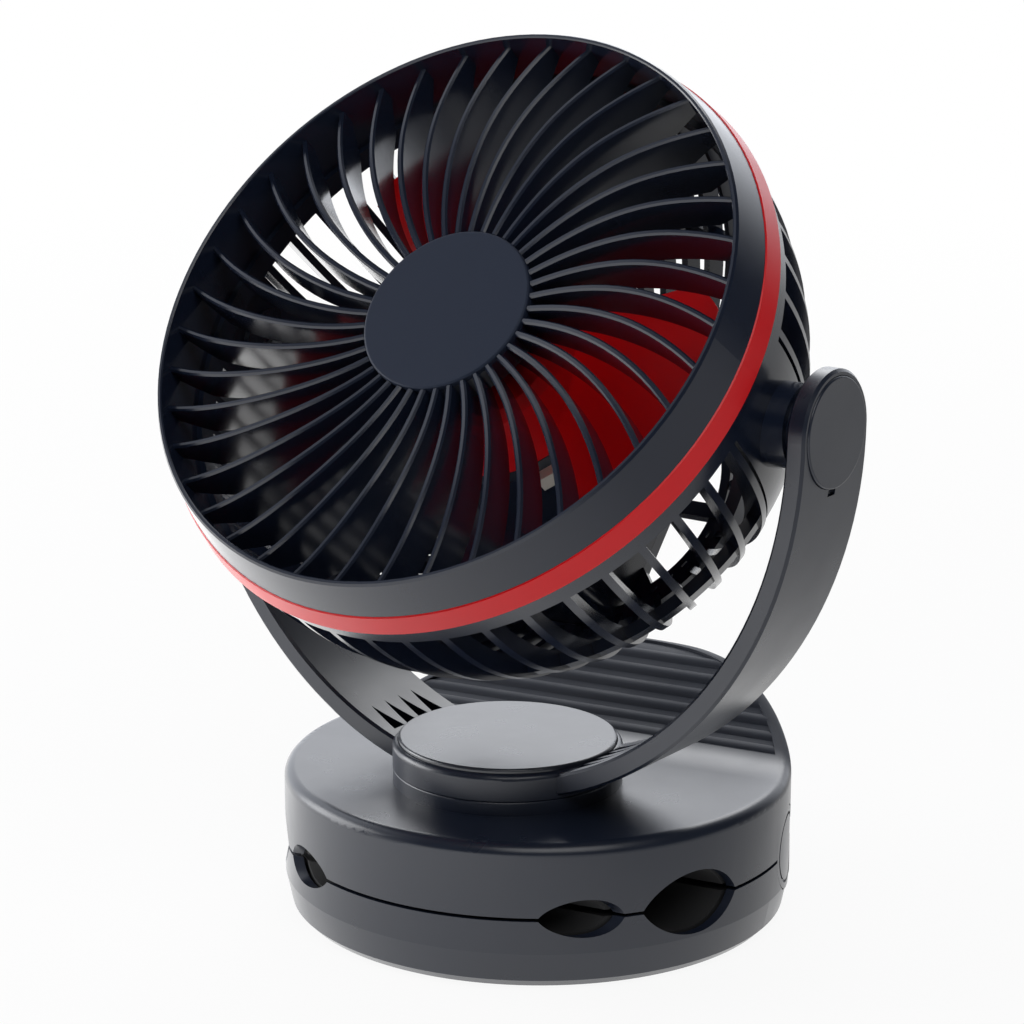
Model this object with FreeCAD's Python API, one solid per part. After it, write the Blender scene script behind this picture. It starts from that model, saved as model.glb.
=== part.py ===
import FreeCAD, Part
import math
import os

V = FreeCAD.Vector

# Portable camping fan: a tilting fan head in a U yoke, on a round base that is also a clamp.
# Millimetres. Origin: centre of the round base, on the table. Front is -Y, up is +Z.

# Base
BASE_R = 66.0
BASE_FOOT_R = 64.4
SPLIT_LOW = 18.5
SPLIT_HIGH = 19.4
TOP_Z = 38.0
WALL = 2.2
FOOT_PAD_R = 57.0
FOOT_PAD_T = 2.0
SHELL_FLOOR_Z = 0.5
SHOULDER_R = 3.0

# Clamp hinge, its axis along X
HINGE_Y = 16.3
HINGE_Z = 19.0
HINGE_CAP_R = 10.8
PIN_R = 2.0
BARREL_R = 5.0
TAIL_ANGLE = 21.5

# Rise of the upper jaw into its tail
BEND_START = 12.0
BEND_R = 58.0
RISE_ANGLE = 28.0
CREST_START = 54.0
CREST_R = 14.0

# Pole channels, straight through the base along X: centre y, half width, half height
CHANNELS = [(-52.7, 6.4, 4.9), (-30.0, 12.9, 8.2)]
LINER_T = 1.8

# Swivel and yoke
HUB_Y = -17.3
HUB_R = 29.5
HUB_TOP_Z = 48.7
COLLAR_R = 29.4
COLLAR_TOP_Z = 41.7
DISC_R = 28.0
DISC_TOP_Z = 49.8
STEM_R = 12.0
STEM_LOW = 35.5
PIVOT_Z = 141.5
STRAP_W = 30.0
STRAP_OUT_X = 93.5
STRAP_OUT_Z = 103.0
STRAP_IN_X = 88.5
STRAP_IN_Z = 97.5
PIVOT_CAP_R = 13.4
PIVOT_CAP_OUT = 93.9
YOKE_SWIVEL = -8.2
HEAD_TILT = 41.1

# Head, in its own frame: Z runs out of the front grille, the pivot axis is X through the origin
RIM_FRONT = 39.5
RIM_R = 77.8
BAND_REAR = 28.4
BAND_R = 80.1
TRIM_REAR = 21.9
TRIM_R = 81.5
RIM_INNER_R = 76.4
VANES = 40
VANE_TWIST = 15.3
VANE_T = 1.7
VANE_BEVEL = 0.45
VANE_REAR = 26.0
CAP_R = 22.3
CAP_FRONT = 34.9

# Rear cage: an ellipse turned about Z
CAGE_R = 80.3
CAGE_START = 16.0
CAGE_CENTRE = 18.0
CAGE_DEPTH = 88.0
RIB_H = 5.0
RIB_T = 2.0
RIBS = 48
PANEL_RIBS = 3
REAR_RING_R = 43.5
INNER_RING_R = 36.6

# Motor nose, and the battery box behind it
NOSE_R = 26.6
POD_WALL = 2.0
BOX_HALF_X = 21.5
BOX_LOW_Y = -39.5
BOX_HIGH_Y = 32.5
BOX_FRONT = -31.0
BOX_REAR = -56.0
COVER_REAR = -59.5
CELL_R = 9.2
CELL_LENGTH = 65.0

# Fan wheel
BLADES = 3
BLADE_TIP_R = 67.0
WHEEL_HUB_R = 26.0
BLADE_SPAN = 64.0
SHAFT_R = 1.5


def turned(points, angle=360.0, start=0.0):
    """Solid turned about Z from a closed outline of (radius, z) points."""
    wire = Part.makePolygon([V(r, 0, z) for r, z in points + points[:1]])
    solid = Part.Face(wire).revolve(V(0, 0, 0), V(0, 0, 1), angle)
    solid.rotate(V(0, 0, 0), V(0, 0, 1), start)
    return Part.makeSolid(solid) if solid.ShapeType != "Solid" else solid


def rod(r, length, base, axis):
    return Part.makeCylinder(r, length, base, axis)


def tube(r_out, r_in, z0, z1):
    return turned([(r_in, z0), (r_out, z0), (r_out, z1), (r_in, z1)])


def slab(face_edges, x_half):
    """Solid from a closed outline in the YZ plane, drawn at -x_half and pushed to +x_half."""
    face = Part.Face(Part.Wire(face_edges))
    face.translate(V(-x_half, 0, 0))
    return face.extrude(V(2 * x_half, 0, 0))


def line(a, b):
    return Part.LineSegment(a, b).toShape()


def arc(a, m, b):
    return Part.Arc(a, m, b).toShape()


def box_yz(y0, y1, z0, z1, x0, x1):
    return Part.makeBox(x1 - x0, y1 - y0, z1 - z0, V(x0, y0, z0))


# Base, lower jaw

def channel(y, half_w, half_h, grow=0.0):
    """Lens-shaped prism through the base for one pole channel."""
    w = half_w + grow
    h = half_h + grow
    left, right = V(0, y - w, 0), V(0, y + w, 0)
    mid = (SPLIT_LOW + SPLIT_HIGH) / 2
    edges = [arc(left, V(0, y, h), right), arc(right, V(0, y, -h), left)]
    lens = slab(edges, BASE_R + 4)
    lens.translate(V(0, 0, mid))
    return lens


def hinge_holes(r, inner_x):
    reach = BASE_R + 4 - inner_x
    right = rod(r, reach, V(inner_x, HINGE_Y, HINGE_Z), V(1, 0, 0))
    left = rod(r, reach, V(-inner_x, HINGE_Y, HINGE_Z), V(-1, 0, 0))
    return right.fuse(left)


def lower_jaw_shell():
    edge = 2.0
    outer = turned([(0, SHELL_FLOOR_Z), (BASE_FOOT_R - edge, SHELL_FLOOR_Z), (BASE_FOOT_R, SHELL_FLOOR_Z + edge),
                    (BASE_R, 10.0), (BASE_R, SPLIT_LOW), (0, SPLIT_LOW)])
    inner = turned([(0, SHELL_FLOOR_Z + 2 + WALL), (BASE_FOOT_R - edge - WALL, SHELL_FLOOR_Z + 2 + WALL),
                    (BASE_R - WALL, 10.0), (BASE_R - WALL, SPLIT_LOW + 1), (0, SPLIT_LOW + 1)])
    shell = outer.cut(inner)
    shell = shell.cut(Part.makeCylinder(FOOT_PAD_R + 0.2, FOOT_PAD_T + 0.1, V(0, 0, 0)))
    for y, w, h in CHANNELS:
        shell = shell.cut(channel(y, w, h))
    shell = shell.cut(hinge_holes(HINGE_CAP_R + 0.3, 58.0))
    shell = shell.fuse([knuckle(30.2, 40.0, SHELL_FLOOR_Z + 3), knuckle(-40.0, -30.2, SHELL_FLOOR_Z + 3)])
    shell = shell.fuse(posts(3.4, 3.0, 14.0))
    shell = shell.cut(rod(PIN_R, 2 * BASE_R, V(-BASE_R, HINGE_Y, HINGE_Z), V(1, 0, 0)))
    return shell.cut(Part.makeCompound(posts(1.3, 0.0, 12.0) + posts(2.5, 0.0, 3.4)))


def knuckle(x0, x1, z_root):
    """Hinge eye on a web that stands on the jaw's plate at z_root."""
    eye = rod(BARREL_R, x1 - x0, V(x0, HINGE_Y, HINGE_Z), V(1, 0, 0))
    low, high = min(z_root, HINGE_Z), max(z_root, HINGE_Z)
    web = box_yz(HINGE_Y - BARREL_R, HINGE_Y + BARREL_R, low, high, x0, x1)
    return eye.fuse(web)


LOWER_SCREWS = [(-42.0, -14.0), (42.0, -14.0), (-36.0, 38.0), (36.0, 38.0)]


def posts(r, z0, z1):
    """Upright cylinders at the four screws of the lower jaw."""
    return [Part.makeCylinder(r, z1 - z0, V(x, y, z0)) for x, y in LOWER_SCREWS]


def liner(upper):
    """Rubber jaw liner: a sheet that follows the pole channels, in front of the hinge."""
    sign = 1 if upper else -1
    face_z = SPLIT_HIGH + 0.4 if upper else SPLIT_LOW - 0.4
    front, back = -62.5, HINGE_Y - HINGE_CAP_R - 1.0
    near = liner_edge(front, back, face_z, sign, 0.0)
    far = liner_edge(front, back, face_z + sign * LINER_T, sign, 1.0)
    ends = [line(V(0, front, face_z), V(0, front, face_z + sign * LINER_T)),
            line(V(0, back, face_z), V(0, back, face_z + sign * LINER_T))]
    sheet = slab(Part.__sortEdges__(near + far + ends), BASE_R)
    return sheet.common(Part.makeCylinder(BASE_R - WALL - 0.8, 60, V(0, 0, 0)))


def liner_edge(front, back, z, sign, grow):
    edges = []
    y = front
    for centre, w, h in CHANNELS:
        w, h = w - 0.9 + grow, h - 1.2 + grow * 0.8
        a, b = V(0, centre - w, z), V(0, centre + w, z)
        edges.append(line(V(0, y, z), a))
        edges.append(arc(a, V(0, centre, z + sign * h), b))
        y = centre + w
    edges.append(line(V(0, y, z), V(0, back, z)))
    return edges


def lower_rear_plate():
    plate = Part.makeCylinder(BASE_R - WALL - 0.15, 2.0, V(0, 0, SPLIT_LOW - 2.4))
    keep = box_yz(HINGE_Y + HINGE_CAP_R + 1.0, BASE_R, 0, 40, -BASE_R, BASE_R)
    return plate.common(keep)


def foot_pad():
    pad = Part.makeCylinder(FOOT_PAD_R, FOOT_PAD_T, V(0, 0, 0))
    return pad.makeFillet(0.6, [pad.Edges[2]])


def hinge_pin():
    return rod(PIN_R, 116.0, V(-58.0, HINGE_Y, HINGE_Z), V(1, 0, 0))


def hinge_caps():
    """Round side caps, turned to the base's own curve, with a fine ring cut in each."""
    skin = Part.makeCylinder(BASE_R - 0.1, 60, V(0, 0, 0))
    under = Part.makeCylinder(BASE_R - 0.6, 60, V(0, 0, 0))
    caps = []
    for side in (1, -1):
        axis = V(side, 0, 0)
        disc = rod(HINGE_CAP_R, 20, V(side * 58.0, HINGE_Y, HINGE_Z), axis).common(skin)
        ring = rod(HINGE_CAP_R - 1.6, 20, V(side * 58.0, HINGE_Y, HINGE_Z), axis)
        ring = ring.cut(rod(HINGE_CAP_R - 2.3, 20, V(side * 58.0, HINGE_Y, HINGE_Z), axis))
        caps.append(disc.cut(ring.cut(under)))
    return Part.makeCompound(caps)


def clamp_spring():
    """Torsion spring round the pin; its closely wound turns are one sleeve."""
    sleeve = rod(4.6, 26.0, V(-13.0, HINGE_Y, HINGE_Z), V(1, 0, 0))
    return sleeve.cut(rod(3.0, 26.0, V(-13.0, HINGE_Y, HINGE_Z), V(1, 0, 0)))


def lower_jaw_screws():
    screws = []
    for x, y in LOWER_SCREWS:
        head = Part.makeCylinder(2.4, 1.2, V(x, y, FOOT_PAD_T + 0.15))
        screws.append(head.fuse(Part.makeCylinder(1.25, 8.0, V(x, y, FOOT_PAD_T + 0.2))))
    return Part.makeCompound(screws)


# Base, upper jaw

def jaw_side(inset):
    """Side outline of the upper jaw: flat in front, a smooth bend up into the tail, a rounded crest."""
    reach = BASE_R + 2
    top = TOP_Z - inset
    low = SPLIT_HIGH - (1.0 if inset else 0.0)
    heel = V(0, HINGE_Y + 0.4, low)
    tail_low = V(0, reach, low + (reach - HINGE_Y) * math.tan(math.radians(TAIL_ANGLE)))
    start = V(0, BEND_START, top)
    bend_mid, bend_end = bend(start, BEND_R, 0.0, RISE_ANGLE)
    run = CREST_START - bend_end.y
    crest = bend_end + V(0, run, run * math.tan(math.radians(RISE_ANGLE)))
    crest_mid, tail_top = bend(crest, -CREST_R, RISE_ANGLE, -8.0)
    back = V(0, reach, tail_top.z - 0.6)
    return [line(V(0, -reach, low), heel), line(heel, tail_low), line(tail_low, back), line(back, tail_top),
            arc(tail_top, crest_mid, crest), line(crest, bend_end), arc(bend_end, bend_mid, start),
            line(start, V(0, -reach, top)), line(V(0, -reach, top), V(0, -reach, low))]


def bend(start, r, angle0, angle1):
    """Middle and end points of an arc in the YZ plane that leaves start at angle0 and ends at angle1."""
    points = []
    a0 = math.radians(angle0)
    for angle in ((angle0 + angle1) / 2, angle1):
        a = math.radians(angle)
        points.append(start + V(0, r * (math.sin(a) - math.sin(a0)), r * (math.cos(a0) - math.cos(a))))
    return points


def jaw_body(inset, r):
    block = slab(jaw_side(inset), BASE_R + 2)
    drum = Part.makeCylinder(r, 90, V(0, 0, 0))
    drum.rotate(V(0, 0, 0), V(0, 0, 1), 90)
    return block.common(drum)


def on_wall(edge):
    """True for an edge that runs round the base's wall."""
    ends = edge.Vertexes
    flush = all(abs(math.hypot(v.X, v.Y) - BASE_R) < 0.01 for v in ends)
    return flush and edge.BoundBox.XLength > 1.0


def upper_jaw_shell():
    outer = jaw_body(0.0, BASE_R)
    rim = [e for e in outer.Edges if e.BoundBox.ZMin > TOP_Z - 1 and on_wall(e)]
    outer = outer.makeFillet(SHOULDER_R, rim)
    shell = outer.cut(jaw_body(WALL, BASE_R - WALL))
    for y, w, h in CHANNELS:
        shell = shell.cut(channel(y, w, h))
    shell = shell.cut(hinge_holes(HINGE_CAP_R + 0.3, 58.0))
    eyes = [knuckle(x, x + 11.0, TOP_Z - WALL / 2) for x in (18.8, -29.8)]
    shell = shell.fuse(eyes)
    shell = shell.cut(rod(PIN_R + 0.05, 2 * BASE_R, V(-BASE_R, HINGE_Y, HINGE_Z), V(1, 0, 0)))
    shell = shell.cut(Part.makeCylinder(STEM_R + 0.06, 30, V(0, HUB_Y, 20)))
    return grip_tail(shell)


def grip_tail(shell):
    """Sink the tail's top inside a raised lip and lay grip ridges across it."""
    lip = 4.2
    depth = 0.8
    ridge_r = 3.0
    ridge_rise = 0.45
    above = slab(jaw_side(0.0), BASE_R + 2)
    below = slab(jaw_side(0.0), BASE_R + 2)
    below.translate(V(0, 0, -depth))
    well = above.cut(below).common(Part.makeCylinder(BASE_R - lip, 90, V(0, 0, 0)))
    well = well.common(box_yz(26.0, BASE_R, TOP_Z - 2, 90, -BASE_R, BASE_R))
    shell = shell.cut(well)
    zone = Part.makeCylinder(BASE_R - lip + 0.4, 90, V(0, 0, 0))
    ridges = []
    for k in range(6):
        y = 30.0 + k * 5.2
        bar = rod(ridge_r, 2 * BASE_R, V(-BASE_R, y, tail_height(y) - depth + ridge_rise - ridge_r), V(1, 0, 0))
        ridges.append(bar.common(zone))
    return shell.fuse(ridges)


def tail_height(y):
    """Height of the jaw's top face at y, read from its side outline."""
    probe = line(V(0, y, TOP_Z - 5), V(0, y, TOP_Z + 30))
    tops = [e.distToShape(probe) for e in jaw_side(0.0)[3:7]]
    return min(tops, key=lambda t: t[0])[1][0][0].z


def tail_plate():
    """Closes the tail's underside."""
    slope = math.tan(math.radians(TAIL_ANGLE))
    y0, y1, t = HINGE_Y + HINGE_CAP_R + 2.0, BASE_R, 2.0
    low = [SPLIT_HIGH + 0.3 + (y - HINGE_Y) * slope for y in (y0, y1)]
    corners = [V(0, y0, low[0]), V(0, y1, low[1]), V(0, y1, low[1] + t), V(0, y0, low[0] + t)]
    edges = [line(corners[i], corners[(i + 1) % 4]) for i in range(4)]
    return slab(edges, BASE_R).common(Part.makeCylinder(BASE_R - WALL - 0.15, 90, V(0, 0, 0)))


def swivel_collar():
    collar = tube(COLLAR_R, STEM_R + 0.06, TOP_Z, COLLAR_TOP_Z)
    outer = [e for e in collar.Edges if abs(e.BoundBox.ZMin - COLLAR_TOP_Z) < 0.01 and e.BoundBox.XMax > COLLAR_R - 1
             and e.BoundBox.ZMax < COLLAR_TOP_Z + 0.01]
    return place_hub(collar.makeFillet(0.4, outer))


def place_hub(shape):
    shape.translate(V(0, HUB_Y, 0))
    return shape


# Yoke, modelled about its own axis with its front at -Y

def strap_edges():
    """Outline of the U strap in the XZ plane: two half ellipses and straight ends at the pivots."""
    centre = V(0, 0, PIVOT_Z)
    out = Part.Ellipse(V(0, 0, PIVOT_Z - STRAP_OUT_Z), V(STRAP_OUT_X, 0, PIVOT_Z), centre)
    inn = Part.Ellipse(V(0, 0, PIVOT_Z - STRAP_IN_Z), V(STRAP_IN_X, 0, PIVOT_Z), centre)
    half = math.pi / 2
    top = PIVOT_Z + STRAP_W / 2
    edges = [out.toShape(-half, half), inn.toShape(-half, half)]
    for s in (1, -1):
        edges.append(line(V(s * STRAP_OUT_X, 0, PIVOT_Z), V(s * STRAP_OUT_X, 0, top)))
        edges.append(line(V(s * STRAP_OUT_X, 0, top), V(s * STRAP_IN_X, 0, top)))
        edges.append(line(V(s * STRAP_IN_X, 0, top), V(s * STRAP_IN_X, 0, PIVOT_Z)))
    return Part.__sortEdges__(edges)


def yoke_frame():
    half_w = STRAP_W / 2
    face = Part.Face(Part.Wire(strap_edges()))
    face.translate(V(0, -half_w, 0))
    strap = face.extrude(V(0, STRAP_W, 0))
    keep = Part.makeBox(240, STRAP_W + 2, PIVOT_Z, V(-120, -half_w - 1, 0))
    keep = keep.fuse(rod(half_w, 240, V(-120, 0, PIVOT_Z), V(1, 0, 0)))
    strap = strap.common(keep)
    strap = strap.makeChamfer(0.7, outer_edges(strap))
    hub = turned([(0, COLLAR_TOP_Z + 0.2), (HUB_R, COLLAR_TOP_Z + 0.2), (HUB_R, HUB_TOP_Z), (0, HUB_TOP_Z)])
    top = [e for e in hub.Edges if e.BoundBox.ZMin > HUB_TOP_Z - 0.01 and e.BoundBox.XMax > HUB_R - 1]
    hub = hub.makeFillet(1.6, top)
    below = Part.makeBox(240, 60, COLLAR_TOP_Z + 0.2, V(-120, -30, 0))
    frame = strap.cut(below).fuse(hub)
    frame = frame.cut(Part.makeCylinder(HUB_R - 1.3, 20, V(0, 0, HUB_TOP_Z - 1.4)))
    frame = frame.cut(Part.makeCompound(root_pockets()))
    frame = frame.fuse(Part.makeCylinder(STEM_R, COLLAR_TOP_Z + 1 - STEM_LOW, V(0, 0, STEM_LOW)))
    frame = frame.cut(Part.makeCylinder(1.6, 11, V(0, 0, STEM_LOW - 0.5)))
    for s in (1, -1):
        axis = V(s, 0, 0)
        frame = frame.cut(rod(PIVOT_CAP_R + 0.15, 5, V(s * (STRAP_OUT_X - 2.5), 0, PIVOT_Z), axis))
        frame = frame.cut(rod(2.56, 10, V(s * (STRAP_IN_X - 1), 0, PIVOT_Z), axis))
        notch = Part.makeBox(4, 3.4, 3.6, V(STRAP_OUT_X - 1.8, -1.7, PIVOT_Z - PIVOT_CAP_R - 1.9))
        frame = frame.cut(notch if s > 0 else notch.mirror(V(0, 0, 0), V(1, 0, 0)))
    return frame


def outer_edges(strap):
    """Long edges that run along the strap, on its front and back."""
    half_w = STRAP_W / 2
    found = []
    for e in strap.Edges:
        box = e.BoundBox
        if box.YLength < 0.01 and abs(abs(box.YMin) - half_w) < 0.01 and e.Length > 60:
            found.append(e)
    return found


def root_pockets():
    """Pointed hollows between the small webs where each arm leaves the hub."""
    x0, reach, width = HUB_R - 0.3, 10.0, 4.2
    pockets = []
    for s in (1, -1):
        for y in (-11.2, -5.6, 0.0, 5.6):
            plan = Part.makePolygon([V(x0, y, 0), V(x0 + reach, y + width / 2, 0), V(x0, y + width, 0), V(x0, y, 0)])
            cutter = Part.Face(plan).extrude(V(0, 0, 9))
            cutter.rotate(V(x0, 0, 0), V(0, 1, 0), -24.0)
            cutter.translate(V(0, 0, 45.6))
            pockets.append(cutter if s > 0 else cutter.mirror(V(0, 0, 0), V(1, 0, 0)))
    return pockets


def hub_cover():
    z0 = HUB_TOP_Z - 1.4
    disc = Part.makeCylinder(DISC_R, DISC_TOP_Z - z0, V(0, 0, z0))
    return disc.makeFillet(0.7, [e for e in disc.Edges if e.BoundBox.ZMin > DISC_TOP_Z - 0.01])


def pivot_cap(side):
    cap = rod(PIVOT_CAP_R, PIVOT_CAP_OUT - 91.2, V(91.2, 0, PIVOT_Z), V(1, 0, 0))
    cap = cap.makeFillet(0.5, [e for e in cap.Edges if e.BoundBox.XMin > PIVOT_CAP_OUT - 0.01])
    cap = cap.cut(rod(11.4, 1.5, V(91.1, 0, PIVOT_Z), V(1, 0, 0)))
    return cap if side > 0 else cap.mirror(V(0, 0, 0), V(1, 0, 0))


def pivot_washers():
    washers = []
    for s in (1, -1):
        disc = rod(8.0, 0.75, V(s * 87.4, 0, PIVOT_Z), V(s, 0, 0))
        washers.append(disc.cut(rod(2.56, 4, V(s * 86.0, 0, PIVOT_Z), V(s, 0, 0))))
    return Part.makeCompound(washers)


def swivel_washer():
    return tube(15.5, 1.6, STEM_LOW - 1.55, STEM_LOW - 0.02)


def swivel_screw():
    seat = STEM_LOW - 1.6
    head = turned([(0, seat - 2.0), (3.0, seat - 2.0), (3.4, seat - 1.5), (3.4, seat), (0, seat)])
    return head.fuse(Part.makeCylinder(1.55, 11.5, V(0, 0, seat - 0.1)))


# Head

def front_surface():
    """Space between the vanes' front and rear faces, turned about Z: dished towards the cap."""
    front = [(20.0, 34.3), (30.0, 35.3), (42.0, 36.5), (56.0, 37.1), (66.0, 36.6), (77.2, 35.9)]
    curve = Part.BSplineCurve()
    curve.interpolate([V(r, 0, z) for r, z in front])
    rear_corner = V(69.0, 0, VANE_REAR)
    rear_rim = V(77.2, 0, VANE_REAR + 5.5)
    start = V(20.0, 0, VANE_REAR + 1.0)
    edges = [curve.toShape(), line(V(77.2, 0, 35.9), rear_rim), line(rear_rim, rear_corner),
             line(rear_corner, start), line(start, V(20.0, 0, 34.3))]
    band = Part.Face(Part.Wire(Part.__sortEdges__(edges)))
    band.rotate(V(0, 0, 0), V(0, 0, 1), 90.0)
    return Part.makeSolid(band.revolve(V(0, 0, 0), V(0, 0, 1), 360))


def vane_blank():
    """One spiral vane before its front and rear are shaped: radial at the hub, swept back at the rim."""
    start, middle, end = 21.0, 50.0, 77.6
    sides = []
    for offset in (-VANE_T / 2, VANE_T / 2):
        points = []
        for r, turn in ((start, 0.0), (middle, -5.85), (end, -VANE_TWIST)):
            a = math.radians(turn)
            points.append(V(r * math.cos(a) - offset * math.sin(a), r * math.sin(a) + offset * math.cos(a), 20))
        sides.append(points)
    left, right = sides
    wire = Part.Wire([arc(*left), line(left[2], right[2]), arc(right[2], right[1], right[0]), line(right[0], left[0])])
    return Part.Face(wire).extrude(V(0, 0, 22))


def front_grille():
    vane = vane_blank().common(front_surface())
    vane = vane.makeChamfer(VANE_BEVEL, [e for e in vane.Edges if e.Length > 40 and e.BoundBox.ZMin > 33.0])
    rim = turned([(RIM_INNER_R, RIM_FRONT - 0.3), (RIM_INNER_R + 0.3, RIM_FRONT), (RIM_R - 0.5, RIM_FRONT),
                  (RIM_R, RIM_FRONT - 0.6), (BAND_R, BAND_REAR + 0.05), (78.4, BAND_REAR + 0.05),
                  (78.4, TRIM_REAR), (RIM_INNER_R, TRIM_REAR)])
    plate = turned([(0, 30.5), (17.5, 30.5), (17.5, 27.0), (22.4, 27.0), (22.4, 33.35), (0, 33.35)])
    vanes = []
    for k in range(VANES):
        copy = vane.copy()
        copy.rotate(V(0, 0, 0), V(0, 0, 1), k * 360.0 / VANES)
        vanes.append(copy)
    seat = Part.makeCylinder(CAP_R + 0.1, 6.0, V(0, 0, 33.35))
    return rim.fuse([plate] + vanes).cut(seat)


def centre_cap():
    cap = Part.makeCylinder(CAP_R, CAP_FRONT - 33.4, V(0, 0, 33.4))
    return cap.makeFillet(0.6, [e for e in cap.Edges if e.BoundBox.ZMin > CAP_FRONT - 0.01])


def trim_ring():
    return turned([(78.45, TRIM_REAR), (TRIM_R - 0.3, TRIM_REAR), (TRIM_R, TRIM_REAR + 0.4),
                   (BAND_R + 0.35, BAND_REAR - 0.2), (BAND_R, BAND_REAR), (78.45, BAND_REAR)])


def cage_arc(shrink, u0, u1):
    """Part of the cage's ellipse in the XZ plane, from angle u0 to u1 counted from its rear pole."""
    r, depth = CAGE_R - shrink, CAGE_DEPTH - shrink
    ellipse = Part.Ellipse(V(0, 0, CAGE_CENTRE - depth), V(r, 0, CAGE_CENTRE), V(0, 0, CAGE_CENTRE))
    shape = ellipse.toShape(math.radians(u0), math.radians(u1))
    if shape.CenterOfMass.x < 0:
        shape = ellipse.toShape(-math.radians(u1), -math.radians(u0))
    return shape


def cage_slice(shrink0, shrink1, u0, u1):
    """Closed outline between two cage ellipses."""
    outer = cage_arc(shrink0, u0, u1)
    inner = cage_arc(shrink1, u0, u1)
    a = sorted(outer.Vertexes, key=lambda v: v.Z)
    b = sorted(inner.Vertexes, key=lambda v: v.Z)
    edges = [outer, line(a[0].Point, b[0].Point), inner, line(a[1].Point, b[1].Point)]
    return Part.Face(Part.Wire(Part.__sortEdges__(edges)))


def rear_cage():
    """Basket of fins between the lip and the rear ring, with a solid panel and pivot boss at each side."""
    rib_face = cage_slice(0.0, RIB_H, 29.5, 88.9)
    rib_face.translate(V(0, -RIB_T / 2, 0))
    rib = rib_face.extrude(V(0, RIB_T, 0))
    step = 360.0 / RIBS
    pieces = []
    for k in range(RIBS):
        turn = step * (k + 0.5)
        from_panel = abs((turn + 90.0) % 180.0 - 90.0)
        if from_panel < step * (PANEL_RIBS / 2.0 - 0.1):
            continue
        copy = rib.copy()
        copy.rotate(V(0, 0, 0), V(0, 0, 1), turn)
        pieces.append(copy)
    lip = turned([(RIM_INNER_R - 1.4, CAGE_START), (CAGE_R, CAGE_START), (CAGE_R + 0.2, TRIM_REAR - 0.05),
                  (RIM_INNER_R - 1.4, TRIM_REAR - 0.05)])
    rear_ring = turned([(REAR_RING_R - 3.8, -57.2), (REAR_RING_R, -57.2), (REAR_RING_R, -51.5),
                        (REAR_RING_R - 3.8, -51.5)])
    inner_ring = turned([(INNER_RING_R - 2.6, -60.0), (INNER_RING_R, -60.0), (INNER_RING_R, -56.0),
                         (INNER_RING_R - 2.6, -56.0)])
    corner_ring = turned([(64.6, -27.5), (67.4, -28.6), (69.0, -24.4), (66.2, -23.3)])
    pieces += [rear_ring, inner_ring, corner_ring] + rear_spokes() + side_panels(step * PANEL_RIBS)
    cage = lip.fuse(pieces).cut(box_prism(-0.15, -80.0, 0.0))
    for s in (1, -1):
        cage = cage.cut(rod(2.5, 14, V(s * 74.0, 0, 0), V(s, 0, 0)))
    return cage


def rear_spokes():
    """Flat bars that carry the battery box from the rear rings."""
    spokes = []
    for k in range(8):
        bar = Part.makeBox(REAR_RING_R - 15.0, 4.0, 3.0, V(14.0, -2.0, -58.6))
        bar.rotate(V(0, 0, 0), V(0, 0, 1), 45.0 * k)
        spokes.append(bar)
    return spokes


def side_panels(width):
    """Solid panels of the cage at the two pivots, each with a stepped boss."""
    pieces = []
    for turn in (0.0, 180.0):
        panel = cage_slice(0.2, 3.0, 58.0, 88.9).revolve(V(0, 0, 0), V(0, 0, 1), width - 3.0)
        panel.rotate(V(0, 0, 0), V(0, 0, 1), turn - (width - 3.0) / 2)
        pieces.append(Part.makeSolid(panel) if panel.ShapeType != "Solid" else panel)
        side = math.cos(math.radians(turn))
        pieces.append(rod(10.4, 9.4, V(side * 75.5, 0, 0), V(side, 0, 0)))
        pieces.append(rod(8.6, 2.3, V(side * 84.8, 0, 0), V(side, 0, 0)))
    return pieces


def box_prism(inset, z0, z1):
    """Round-cornered column through the battery box, made smaller by inset."""
    block = Part.makeBox(2 * (BOX_HALF_X - inset), BOX_HIGH_Y - BOX_LOW_Y - 2 * inset, z1 - z0,
                         V(inset - BOX_HALF_X, BOX_LOW_Y + inset, z0))
    upright = [e for e in block.Edges if e.BoundBox.ZLength > 1.0]
    return block.makeFillet(6.0 - inset, upright)


def cage_bowl(shrink):
    """Solid bowl inside the cage's ellipse, made smaller by shrink."""
    arc_edge = cage_arc(shrink, 0.0, 90.0)
    ends = sorted(arc_edge.Vertexes, key=lambda v: v.Z)
    low, high = ends[0].Point, ends[1].Point
    corner = V(0, 0, high.z)
    wire = Part.Wire(Part.__sortEdges__([arc_edge, line(high, corner), line(corner, low)]))
    bowl = Part.Face(wire)
    bowl.rotate(V(0, 0, 0), V(0, 0, 1), 90.0)
    return Part.makeSolid(bowl.revolve(V(0, 0, 0), V(0, 0, 1), 360))


def motor_housing():
    """Round motor nose behind the fan wheel, joined to the box that holds the cells."""
    t = POD_WALL
    nose = turned([(5.45, -2.5), (NOSE_R - 1.6, -2.5), (NOSE_R, -4.1), (NOSE_R, BOX_FRONT - 1), (5.45, BOX_FRONT - 1)])
    hollow = turned([(5.0, -2.5 - t), (NOSE_R - t, -2.5 - t), (NOSE_R - t, BOX_FRONT - 3), (0, BOX_FRONT - 3), (0, 0),
                     (5.0, 0)])
    box = box_prism(0.0, BOX_REAR, BOX_FRONT).common(cage_bowl(RIB_H + 0.2))
    room = box_prism(t, BOX_REAR - 5, BOX_FRONT - t).common(cage_bowl(RIB_H + 0.2 + t))
    back = box_prism(t, BOX_REAR - 1, BOX_REAR + 2).common(cage_bowl(RIB_H + 0.2 + t))
    return nose.fuse(box).cut(hollow).cut(room).cut(back)


def motor_stator():
    return tube(21.6, 4.1, 0.5, 13.0).fuse(tube(5.4, 4.1, -10.0, 0.6))


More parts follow.
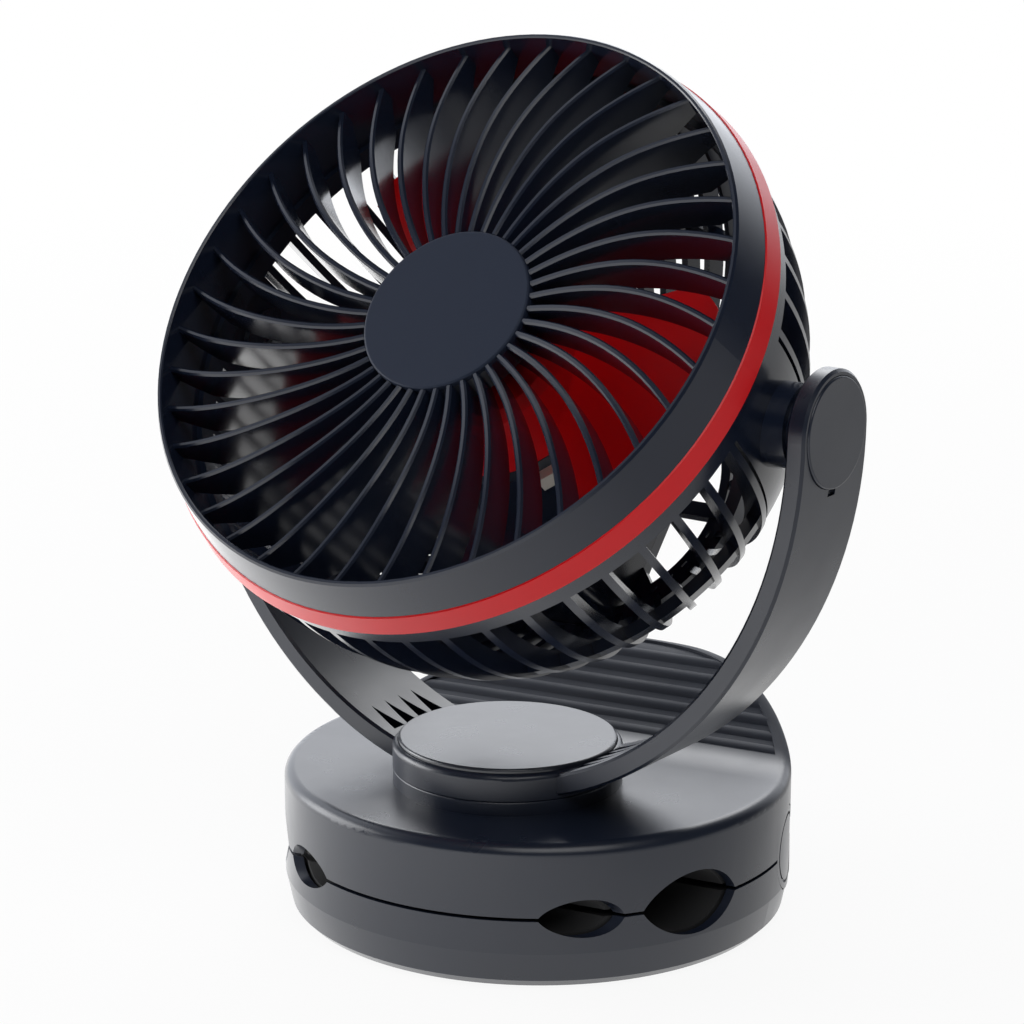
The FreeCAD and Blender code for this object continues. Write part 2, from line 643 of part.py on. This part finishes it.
def motor_bearings():
    seats = [(-9.8, -6.8), (9.6, 12.6)]
    return Part.makeCompound([tube(4.05, SHAFT_R + 0.02, z0, z1) for z0, z1 in seats])


def battery_cells():
    """Two round cells side by side in the box."""
    y0 = (BOX_LOW_Y + BOX_HIGH_Y - CELL_LENGTH) / 2
    z = BOX_FRONT - POD_WALL - CELL_R - 0.4
    return Part.makeCompound([rod(CELL_R, CELL_LENGTH, V(x, y0, z), V(0, 1, 0)) for x in (-9.4, 9.4)])


def circuit_board():
    board = Part.makeCylinder(22.0, 1.6, V(0, 0, -22.8))
    board = board.cut(Part.makeCylinder(5.0, 4, V(0, 0, -24)))
    chip = Part.makeBox(8, 8, 1.4, V(8, -4, -24.2))
    choke = Part.makeCylinder(4.0, 4.0, V(-12, 6, -26.8))
    return board.fuse([chip, choke])


def motor_plug():
    """Wire plug on the side of the motor housing, seen between the vanes."""
    plug = Part.makeBox(2.6, 6.4, 4.4, V(26.65, -3.2, -8.2))
    plug.rotate(V(0, 0, 0), V(0, 0, 1), -47.0)
    return plug


COVER_SCREWS = [(16.0, 25.0), (-16.0, 25.0), (16.0, -23.0), (-16.0, -23.0)]
BUTTON_Y = 13.0
BUTTON_R = 7.0


def rear_cover():
    """Lid of the battery box, with the switch, the indicator and the charging socket in it."""
    lid = box_prism(0.0, COVER_REAR, BOX_REAR - 0.05).common(cage_bowl(0.4))
    bore = Part.makeCylinder(BUTTON_R + 0.15, 12, V(0, BUTTON_Y, -64))
    slot = Part.makeBox(9.4, 3.6, 12, V(-4.7, -18.8, -64))
    lens = Part.makeBox(14.4, 2.4, 12, V(-7.2, -1.2, -64))
    holes = [Part.makeCylinder(2.0, 3.0, V(x, y, COVER_REAR - 1)) for x, y in COVER_SCREWS]
    return lid.cut(Part.makeCompound([bore, slot, lens] + holes))


def rear_cover_screws():
    return Part.makeCompound([Part.makeCylinder(1.8, 1.4, V(x, y, COVER_REAR + 0.5)) for x, y in COVER_SCREWS])


def charging_socket():
    """Small charging port with a tongue, set in its slot."""
    back = BOX_REAR + 1.5
    depth = back - COVER_REAR - 0.3
    shell = Part.makeBox(9.2, 3.4, depth, V(-4.6, -18.7, back - depth))
    mouth = Part.makeBox(8.0, 2.2, depth - 0.8, V(-4.0, -18.1, back - depth))
    tongue = Part.makeBox(6.0, 0.7, depth - 0.6, V(-3.0, -17.35, back - depth + 0.4))
    return shell.cut(mouth).fuse(tongue)


def indicator_lens():
    return Part.makeBox(14.0, 2.0, 3.4, V(-7.0, -1.0, COVER_REAR + 0.3))


def pivot_bolts():
    bolts = []
    for s in (1, -1):
        axis = V(s, 0, 0)
        shank = rod(2.5, 17.5, V(s * 74.2, 0, 0), axis)
        bolts.append(shank.fuse(rod(5.0, 1.2, V(s * 91.2, 0, 0), axis)))
    return Part.makeCompound(bolts)


def power_button():
    cap = Part.makeCylinder(BUTTON_R, 4.2, V(0, BUTTON_Y, COVER_REAR - 0.8))
    return cap.makeFillet(0.6, [e for e in cap.Edges if e.BoundBox.ZMax < COVER_REAR - 0.7])


# Fan wheel

def blade():
    """One wide blade: a thin radial section that climbs as it turns about Z."""
    sections = []
    for t in (0.0, 0.1, 0.3, 0.5, 0.7, 0.9, 1.0):
        turn = math.radians(-40.5 + BLADE_SPAN * t)
        rise = -1.0 + 20.0 * t ** 0.85
        tip = BLADE_TIP_R - 9.0 * abs(2 * t - 1) ** 5
        half = 0.8 - 0.35 * abs(2 * t - 1)
        out = V(math.cos(turn), math.sin(turn), 0)
        root_z, tip_z = rise * 0.86 + 1.4, rise
        corners = [out * 24.5 + V(0, 0, root_z - half), out * tip + V(0, 0, tip_z - half),
                   out * tip + V(0, 0, tip_z + half), out * 24.5 + V(0, 0, root_z + half)]
        sections.append(Part.makePolygon(corners + corners[:1]))
    return Part.makeLoft(sections, True, False)


def impeller():
    hub = turned([(24.0, -1.0), (WHEEL_HUB_R, -1.0), (WHEEL_HUB_R, 17.5), (24.2, 20.6), (20.0, 21.6),
                  (SHAFT_R, 21.6), (SHAFT_R, 19.4), (24.0, 19.4)])
    blades = []
    for k in range(BLADES):
        one = blade()
        one.rotate(V(0, 0, 0), V(0, 0, 1), k * 360.0 / BLADES)
        blades.append(one)
    return hub.fuse(blades)


def rotor_can():
    return turned([(22.4, 0.0), (23.95, 0.0), (23.95, 19.35), (SHAFT_R, 19.35), (SHAFT_R, 17.9), (22.4, 17.9)])


def motor_shaft():
    return Part.makeCylinder(SHAFT_R, 32.5, V(0, 0, -11.0))


# Placing

def place_yoke(shape):
    shape.rotate(V(0, 0, 0), V(0, 0, 1), YOKE_SWIVEL)
    shape.translate(V(0, HUB_Y, 0))
    return shape


def place_head(shape):
    shape.rotate(V(0, 0, 0), V(1, 0, 0), 90.0 - HEAD_TILT)
    shape.rotate(V(0, 0, 0), V(0, 0, 1), YOKE_SWIVEL)
    shape.translate(V(0, HUB_Y, PIVOT_Z))
    return shape


def keep(shape):
    return shape


GROUPS = [
    (keep, [lower_jaw_shell, lower_rear_plate, foot_pad, hinge_pin, hinge_caps, clamp_spring, lower_jaw_screws,
            upper_jaw_shell, tail_plate, swivel_collar]),
    (place_yoke, [yoke_frame, hub_cover, pivot_washers, swivel_washer, swivel_screw]),
    (place_head, [front_grille, centre_cap, trim_ring, rear_cage, motor_housing, motor_stator, motor_bearings,
                  battery_cells, circuit_board, motor_plug, rear_cover, rear_cover_screws, charging_socket,
                  indicator_lens, pivot_bolts, power_button, impeller, rotor_can, motor_shaft]),
]


def save(name, shape):
    shape = shape.removeSplitter()
    shape.exportStep("parts/" + name + ".step")


os.makedirs("parts", exist_ok=True)
for place, makers in GROUPS:
    for maker in makers:
        save(maker.__name__, place(maker()))
save("lower_jaw_pad", liner(False))
save("upper_jaw_pad", liner(True))
save("pivot_cap_right", place_yoke(pivot_cap(1)))
save("pivot_cap_left", place_yoke(pivot_cap(-1)))
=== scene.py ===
import bpy
import math
from mathutils import Matrix, Vector

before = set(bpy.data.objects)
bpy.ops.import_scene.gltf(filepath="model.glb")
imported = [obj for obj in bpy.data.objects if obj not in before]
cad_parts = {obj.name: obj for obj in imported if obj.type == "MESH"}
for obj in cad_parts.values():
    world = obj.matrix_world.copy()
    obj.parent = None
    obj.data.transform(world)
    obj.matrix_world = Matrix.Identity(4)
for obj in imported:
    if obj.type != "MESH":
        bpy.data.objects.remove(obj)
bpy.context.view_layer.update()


# Base shells: the two clamp jaws, their plates, the swivel collar and the round side caps.
# Injection-moulded in navy-black plastic with a fine satin grain, a little shinier where hands
# rub the edges. The two jaws are screwed and pinned together.

class Sock:
    """A node output that can be used in ordinary arithmetic; each operation adds its Math node."""

    def __init__(self, tree, socket):
        self.tree = tree
        self.socket = socket

    def node(self, kind, settings=None, **inputs):
        """Add any node: settings first, then values or links by input name (digits index inputs)."""
        made = self.tree.nodes.new(kind)
        for name, value in (settings or {}).items():
            setattr(made, name, value)
        for name, value in inputs.items():
            key = int(name[1:]) if name[0] == "i" and name[1:].isdigit() else name.replace("_", " ")
            if isinstance(value, Sock):
                self.tree.links.new(value.socket, made.inputs[key])
            else:
                made.inputs[key].default_value = value
        return made

    def out(self, kind, settings=None, output=0, **inputs):
        return Sock(self.tree, self.node(kind, settings, **inputs).outputs[output])

    def maths(self, operation, *values):
        named = {f"i{n}": value for n, value in enumerate(values)}
        return self.out("ShaderNodeMath", {"operation": operation}, **named)

    def __add__(self, other):
        return self.maths("ADD", self, other)

    def __radd__(self, other):
        return self.maths("ADD", other, self)

    def __sub__(self, other):
        return self.maths("SUBTRACT", self, other)

    def __rsub__(self, other):
        return self.maths("SUBTRACT", other, self)

    def __mul__(self, other):
        return self.maths("MULTIPLY", self, other)

    def __rmul__(self, other):
        return self.maths("MULTIPLY", other, self)


def new_finish(name, **constants):
    """A material with a Principled shader; returns it, its shader node and its Object coordinates."""
    material = bpy.data.materials.new(name)
    material.use_nodes = True
    tree = material.node_tree
    shader = tree.nodes["Principled BSDF"]
    for key, value in constants.items():
        shader.inputs[key.replace("_", " ")].default_value = value
    place = Sock(tree, tree.nodes.new("ShaderNodeTexCoord").outputs["Object"])
    return material, shader, place


def link(shader, name, sock):
    sock.tree.links.new(sock.socket, shader.inputs[name])


CLOUD_SCALE = 28.0
SMUDGE_SCALE = 60.0
SMUDGE_DEPTH = 0.16
GRAIN_STRENGTH = 0.35


def moulded(name, colour, dust, rough, grain_size, grain_depth, **constants):
    """Moulded plastic: even colour with a faint cloudy change, fine grain and slightly uneven gloss."""
    material, shader, place = new_finish(name, **constants)
    cloud = place.out("ShaderNodeTexNoise", {}, Vector=place, Scale=CLOUD_SCALE, Detail=4.0, Roughness=0.6)
    tint = place.out("ShaderNodeMix", {"data_type": "RGBA"}, output=2, i0=cloud, i6=colour, i7=dust)
    link(shader, "Base Color", tint)
    smudge = place.out("ShaderNodeTexNoise", {}, Vector=place, Scale=SMUDGE_SCALE, Detail=3.0)
    link(shader, "Roughness", rough + (smudge - 0.5) * SMUDGE_DEPTH)
    grain = place.out("ShaderNodeTexNoise", {}, Vector=place, Scale=grain_size, Detail=2.0)
    bumped = place.out("ShaderNodeBump", {}, Strength=GRAIN_STRENGTH, Distance=grain_depth, Height=grain)
    link(shader, "Normal", bumped)
    return material


def wear(material, *nodes):
    for node in nodes:
        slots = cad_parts[node].data.materials
        slots.clear()
        slots.append(material)


NAVY = (0.0085, 0.0125, 0.0245, 1)
NAVY_BLOOM = (0.013, 0.018, 0.033, 1)
SATIN_ROUGH = 0.30
SATIN_GRAIN = 2600.0
SATIN_DEPTH = 0.00003

satin_navy = moulded("satin_navy", NAVY, NAVY_BLOOM, SATIN_ROUGH, SATIN_GRAIN, SATIN_DEPTH)
wear(satin_navy, "lower_jaw_shell", "swivel_collar", "hinge_caps", "tail_plate", "lower_rear_plate")


# Upper jaw shell: the top of the base, which rises at the back into the ribbed tail.
# The same satin plastic, with a duller spark-eroded grain over the ribs where the fingers press.

RIBS_START_Y = 0.020
RIBS_FULL_Y = 0.030
RIBS_EXTRA_ROUGH = 0.38

tail_navy = moulded("tail_navy", NAVY, NAVY_BLOOM, SATIN_ROUGH, SATIN_GRAIN, SATIN_DEPTH)
tail_tree = tail_navy.node_tree
tail_shader = tail_tree.nodes["Principled BSDF"]
smooth_gloss = Sock(tail_tree, tail_shader.inputs["Roughness"].links[0].from_socket)
tail_place = Sock(tail_tree, tail_tree.nodes["Texture Coordinate"].outputs["Object"])
along_y = tail_place.out("ShaderNodeSeparateXYZ", {}, output=1, Vector=tail_place)
ribbed = tail_place.out("ShaderNodeMapRange", {"interpolation_type": "SMOOTHSTEP"}, Value=along_y,
                        From_Min=RIBS_START_Y, From_Max=RIBS_FULL_Y, To_Min=0.0, To_Max=RIBS_EXTRA_ROUGH)
link(tail_shader, "Roughness", smooth_gloss + ribbed)
wear(tail_navy, "upper_jaw_shell")


# Jaw liners and foot pad: soft black rubber that grips the pole and the table.
# Moulded sheets glued inside the two jaws, and a round pad stuck in a recess below.

grip_rubber = moulded("grip_rubber", (0.008, 0.008, 0.009, 1), (0.014, 0.014, 0.015, 1),
                      rough=0.78, grain_size=1800.0, grain_depth=0.00008)
wear(grip_rubber, "lower_jaw_pad", "upper_jaw_pad", "foot_pad", "power_button")


# Steel hinge pin, clamp spring, screws and washers: drawn and plated steel.
# Turned or wound parts with fine marks round or along them.

STREAK_SCALE = 900.0
STREAK_DARK = 0.72
STREAK_ROUGH = 0.2


def plated(name, colour, rough):
    """Plated or sintered metal, a little darker and rougher in fine streaks."""
    material, shader, place = new_finish(name, Metallic=1.0)
    streak = place.out("ShaderNodeTexNoise", {}, Vector=place, Scale=STREAK_SCALE, Detail=3.0)
    tint = place.out("ShaderNodeMix", {"data_type": "RGBA"}, output=2, i0=streak,
                     i6=colour, i7=tuple(c * STREAK_DARK for c in colour[:3]) + (1,))
    link(shader, "Base Color", tint)
    link(shader, "Roughness", rough + streak * STREAK_ROUGH)
    return material


zinc_steel = plated("zinc_steel", (0.56, 0.56, 0.58, 1), 0.22)
wear(zinc_steel, "hinge_pin", "clamp_spring", "lower_jaw_screws", "swivel_washer", "swivel_screw",
     "rear_cover_screws", "pivot_bolts", "rotor_can", "motor_shaft", "charging_socket")


# Yoke: one glass-filled nylon moulding, a U strap that grows out of a round hub.
# It turns on the base and carries the head between two pivots, each closed with a press-in cap.

wear(satin_navy, "yoke_frame", "pivot_cap_left", "pivot_cap_right")
acetal = moulded("acetal", (0.62, 0.62, 0.58, 1), (0.55, 0.55, 0.51, 1),
                 rough=0.45, grain_size=1500.0, grain_depth=0.00002)
wear(acetal, "pivot_washers")


# Hub cover: a flat disc pressed into the yoke's hub, in the same navy plastic.
# A smooth satin face, on which the white sweep behind the fan shows as grey.

spark_navy = moulded("spark_navy", (0.0175, 0.021, 0.031, 1), (0.024, 0.028, 0.039, 1),
                     rough=0.29, grain_size=2600.0, grain_depth=0.000008,
                     Specular_IOR_Level=0.6)
wear(spark_navy, "hub_cover")


# Front grille: forty spiral vanes between a centre plate and the rim, moulded in one piece.
# Navy plastic polished on the vanes' sides, so that they shine.

gloss_navy = moulded("gloss_navy", (0.0085, 0.0125, 0.0255, 1), (0.0115, 0.0165, 0.033, 1),
                     rough=0.20, grain_size=2200.0, grain_depth=0.00002,
                     Specular_IOR_Level=0.4)
wear(gloss_navy, "front_grille")


# Centre cap: a thin disc that closes the middle of the grille.
# The same navy plastic with a fine even texture.

cap_navy = moulded("cap_navy", (0.013, 0.019, 0.037, 1), (0.0155, 0.022, 0.041, 1),
                   rough=0.5, grain_size=1700.0, grain_depth=0.00006,
                   Specular_IOR_Level=0.15)
wear(cap_navy, "centre_cap")


# Red trim ring: snapped between the grille and the rear cage.
# Moulded in bright red plastic with an even semi-gloss.

signal_red = moulded("signal_red", (0.78, 0.004, 0.009, 1), (0.70, 0.0035, 0.008, 1),
                     rough=0.33, grain_size=2200.0, grain_depth=0.00003,
                     Specular_IOR_Level=0.32)
wear(signal_red, "trim_ring")


# Fan wheel: three broad blades on a hub, moulded in one piece and pressed on the motor's shaft.
# The same red plastic, thin enough at the blades to let some light through, with its colour painted
# lighter than the trim ring's red as painted backlight.

blade_red_painted_backlight = moulded("blade_red_painted_backlight", (0.86, 0.005, 0.010, 1), (0.80, 0.004, 0.009, 1),
                    rough=0.33, grain_size=2200.0, grain_depth=0.00003,
                    Specular_IOR_Level=0.32, Subsurface_Weight=0.6, Subsurface_Scale=0.006)
blade_red_painted_backlight.node_tree.nodes["Principled BSDF"].inputs["Subsurface Radius"].default_value = (1.0, 0.05, 0.05)
wear(blade_red_painted_backlight, "impeller")


# Rear cage, motor housing and rear cover: the head's rear shell in navy plastic.
# The cage is a basket of fins that guards the wheel and lets the air in.

wear(gloss_navy, "rear_cage", "motor_housing")
wear(satin_navy, "rear_cover")


# Parts inside the head: cells in shrink sleeve, circuit board, motor parts and their plug.
# They're seen only in glimpses between the fins.

sleeve_blue = moulded("sleeve_blue", (0.02, 0.09, 0.28, 1), (0.015, 0.07, 0.22, 1),
                      rough=0.3, grain_size=700.0, grain_depth=0.00002)
wear(sleeve_blue, "battery_cells")
board_green = moulded("board_green", (0.01, 0.09, 0.035, 1), (0.008, 0.06, 0.028, 1),
                      rough=0.35, grain_size=900.0, grain_depth=0.00003)
wear(board_green, "circuit_board")
plug_ivory = moulded("plug_ivory", (0.75, 0.72, 0.64, 1), (0.68, 0.65, 0.57, 1),
                     rough=0.4, grain_size=900.0, grain_depth=0.00003)
wear(plug_ivory, "motor_plug")
lens_frost = moulded("lens_frost", (0.55, 0.57, 0.56, 1), (0.48, 0.5, 0.5, 1),
                     rough=0.35, grain_size=900.0, grain_depth=0.00003)
wear(lens_frost, "indicator_lens")
sinter_bronze = plated("sinter_bronze", (0.55, 0.38, 0.17, 1), 0.4)
wear(sinter_bronze, "motor_bearings", "motor_stator")


# Smooth shading on the moulded solids, so that their facets don't show.
# Sharp edges stay sharp.

SHARP_FROM = math.radians(32)

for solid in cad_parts.values():
    bpy.ops.object.select_all(action="DESELECT")
    solid.select_set(True)
    bpy.context.view_layer.objects.active = solid
    bpy.ops.object.shade_smooth_by_angle(angle=SHARP_FROM)


# Floor: a plain white table top that reads as a white studio background.
# It keeps the fan's soft shadow close to the base.

bpy.ops.object.select_all(action="DESELECT")
TABLE_SIZE = 14.0
JUST_BELOW = -0.0005
SHADOW_REACH = 0.25
ALL_WHITE_FROM = 1.2
WHITE_NEAR = 0.92
TO_RIGHT = (0.892, 0.451, 0.0)
SHEEN_HALF_WIDTH = 0.25
SHEEN_LEFT = 1.4
SHEEN_RIGHT = -0.25
SHEEN_SHARE = 0.9

bpy.ops.mesh.primitive_plane_add(size=TABLE_SIZE, location=(0, 0, JUST_BELOW))
floor = bpy.context.object
floor.name = "floor"
floor_white, floor_shader, floor_place = new_finish("floor_white", Roughness=0.9)
floor_shader.inputs["Base Color"].default_value = (0.92, 0.92, 0.92, 1)
floor_shader.inputs["Specular IOR Level"].default_value = 0.1
floor_tree = floor_white.node_tree
glow = floor_tree.nodes.new("ShaderNodeEmission")
glow.inputs["Color"].default_value = (1, 1, 1, 1)
blend = floor_tree.nodes.new("ShaderNodeMixShader")
rays = floor_tree.nodes.new("ShaderNodeLightPath")
seen = Sock(floor_tree, rays.outputs["Is Camera Ray"])
mirrored = Sock(floor_tree, rays.outputs["Is Glossy Ray"])
far = floor_place.out("ShaderNodeVectorMath", {"operation": "LENGTH"}, output=1, i0=floor_place)
far_white = floor_place.out("ShaderNodeMapRange", {"interpolation_type": "SMOOTHSTEP"}, Value=far,
                            From_Min=SHADOW_REACH, From_Max=ALL_WHITE_FROM, To_Min=WHITE_NEAR, To_Max=1.0)
aside = floor_place.out("ShaderNodeVectorMath", {"operation": "DOT_PRODUCT"}, output=1, i0=floor_place,
                        i1=TO_RIGHT)
sheen = floor_place.out("ShaderNodeMapRange", {"interpolation_type": "SMOOTHSTEP"}, Value=aside,
                        From_Min=-SHEEN_HALF_WIDTH, From_Max=SHEEN_HALF_WIDTH,
                        To_Min=SHEEN_LEFT, To_Max=SHEEN_RIGHT)
floor_tree.links.new((mirrored * sheen + 1.0).socket, glow.inputs["Strength"])
floor_tree.links.new((seen * far_white + mirrored * SHEEN_SHARE).socket, blend.inputs[0])
floor_tree.links.new(floor_shader.outputs[0], blend.inputs[1])
floor_tree.links.new(glow.outputs[0], blend.inputs[2])
floor_tree.links.new(blend.outputs[0], floor_tree.nodes["Material Output"].inputs["Surface"])
floor.data.materials.append(floor_white)


# World: a white sweep behind the fan and a darker room in front of it.
# The white side puts pale edges on the glossy navy plastic, and all of it is seen as white.

BACK_LEFT = (-0.74, 0.673, 0.0)
ROOM_DARK = 0.08
SWEEP_BRIGHT = 2.1
SWEEP_FULL_AT = 0.75
DIFFUSE_SHARE = 0.35

world = bpy.data.worlds.new("studio")
bpy.context.scene.world = world
world.use_nodes = True
sky_tree = world.node_tree
sky = sky_tree.nodes["Background"]
way = Sock(sky_tree, sky_tree.nodes.new("ShaderNodeTexCoord").outputs["Generated"])
behind = way.out("ShaderNodeVectorMath", {"operation": "DOT_PRODUCT"}, output=1, i0=way, i1=BACK_LEFT)
sweep = way.out("ShaderNodeMapRange", {"interpolation_type": "SMOOTHSTEP"}, Value=behind,
                From_Min=0.0, From_Max=SWEEP_FULL_AT, To_Min=ROOM_DARK, To_Max=SWEEP_BRIGHT)
path = sky_tree.nodes.new("ShaderNodeLightPath")
to_eye = Sock(sky_tree, path.outputs["Is Camera Ray"])
to_gloss = Sock(sky_tree, path.outputs["Is Glossy Ray"])
lit = sweep * (to_gloss * (1.0 - DIFFUSE_SHARE) + DIFFUSE_SHARE)
sky_strength = lit + to_eye * (1.0 - lit)
sky_tree.links.new(sky_strength.socket, sky.inputs["Strength"])
cool = to_eye.out("ShaderNodeMix", {"data_type": "RGBA"}, output=2, i0=to_eye,
                  i6=(0.91, 0.94, 1.0, 1), i7=(1.0, 1.0, 1.0, 1))
sky_tree.links.new(cool.socket, sky.inputs["Color"])


# Lamps: a large soft box above the camera, one low on the left and one high behind.

def soft_box(name, place, aim, size_x, size_y, power):
    lamp = bpy.data.lights.new(name, "AREA")
    lamp.shape = "RECTANGLE"
    lamp.size, lamp.size_y = size_x, size_y
    lamp.energy = power
    holder = bpy.data.objects.new(name, lamp)
    bpy.context.scene.collection.objects.link(holder)
    holder.location = place
    holder.rotation_euler = (Vector(aim) - Vector(place)).to_track_quat("-Z", "Y").to_euler()


soft_box("key_box", (0.45, -0.6, 1.0), (0, 0, 0.1), 0.8, 0.8, 5.5)
soft_box("left_box", (-0.95, -0.25, 0.3), (0, 0, 0.08), 0.8, 0.5, 7.0)
soft_box("back_box", (-0.3, 0.9, 0.8), (0, 0, 0.1), 0.9, 0.5, 4.0)


# Camera: a long lens a little above the fan, turned to the right of the base's front.

camera_data = bpy.data.cameras.new("camera")
camera_data.lens = 115.31
camera_data.sensor_width = 36.0
camera = bpy.data.objects.new("camera", camera_data)
bpy.context.scene.collection.objects.link(camera)
eye = Vector((0.36193, -0.72756, 0.31473))
target = Vector((-0.0061, -0.0031, 0.10438))
camera.location = eye
turn = (target - eye).to_track_quat("-Z", "Y")
roll = Matrix.Rotation(math.radians(0.103), 3, "Z")
camera.rotation_euler = (turn.to_matrix() @ roll).to_euler()
bpy.context.scene.camera = camera
bpy.context.scene.view_settings.view_transform = "Standard"
